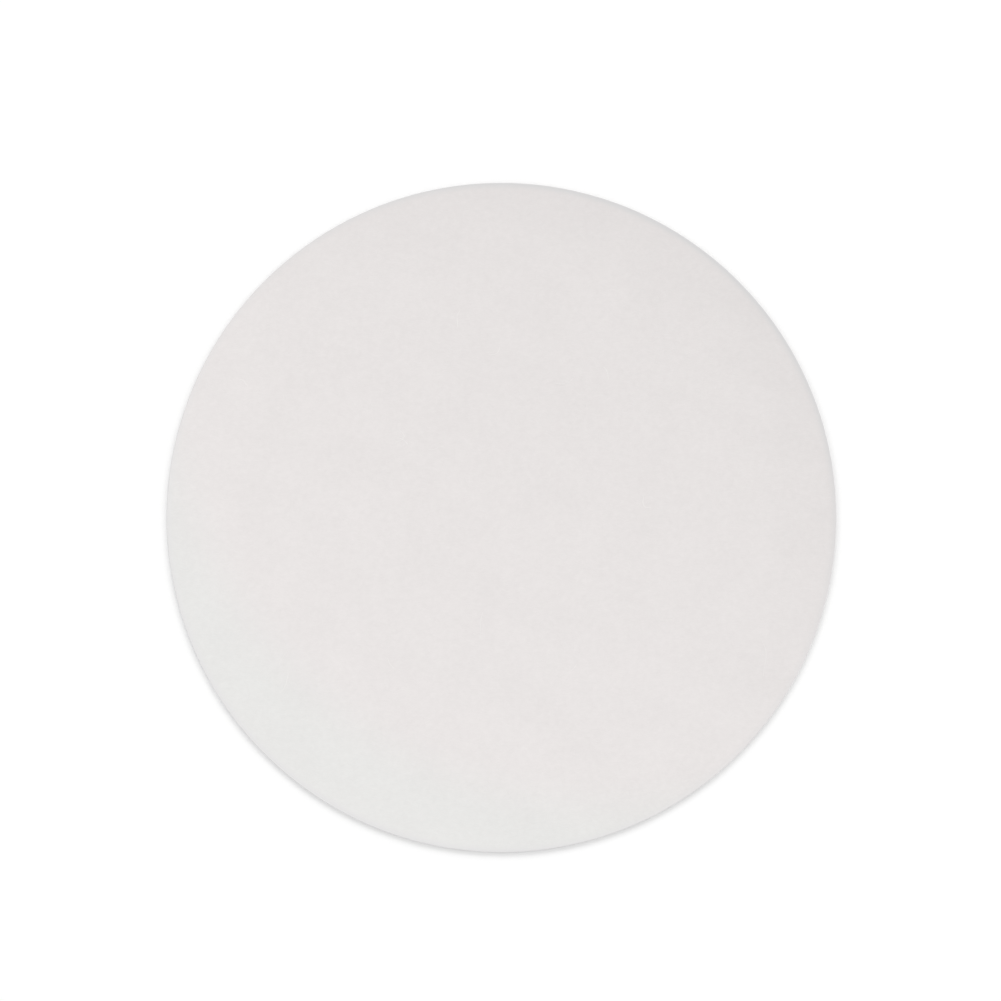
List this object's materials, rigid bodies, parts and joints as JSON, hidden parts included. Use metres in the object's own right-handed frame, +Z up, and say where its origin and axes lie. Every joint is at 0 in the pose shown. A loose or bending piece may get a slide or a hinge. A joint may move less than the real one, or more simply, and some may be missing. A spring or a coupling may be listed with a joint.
{
  "type": "filter paper disc",
  "caption": "Thin round sheet of white filter paper with a plumb punched edge and a slightly upturned rim, laid in a funnel or filter holder to strain solids from a liquid.",
  "frame": {"origin": "centre of the underside's flat middle, where the sheet lies on a flat surface", "axes": "+Z up through the middle of the sheet, out of the face that the rim curls towards; X and Y lie in the sheet and are alike, because it is round"},
  "size_m": [0.055, 0.055, 0.0004],
  "materials": {
    "filter_paper": "matte, unsized cellulose paper with a faint cloudy grain"
  },
  "bodies": {
    "root": {"paper_disc": "filter_paper"}
  },
  "joints": []
}
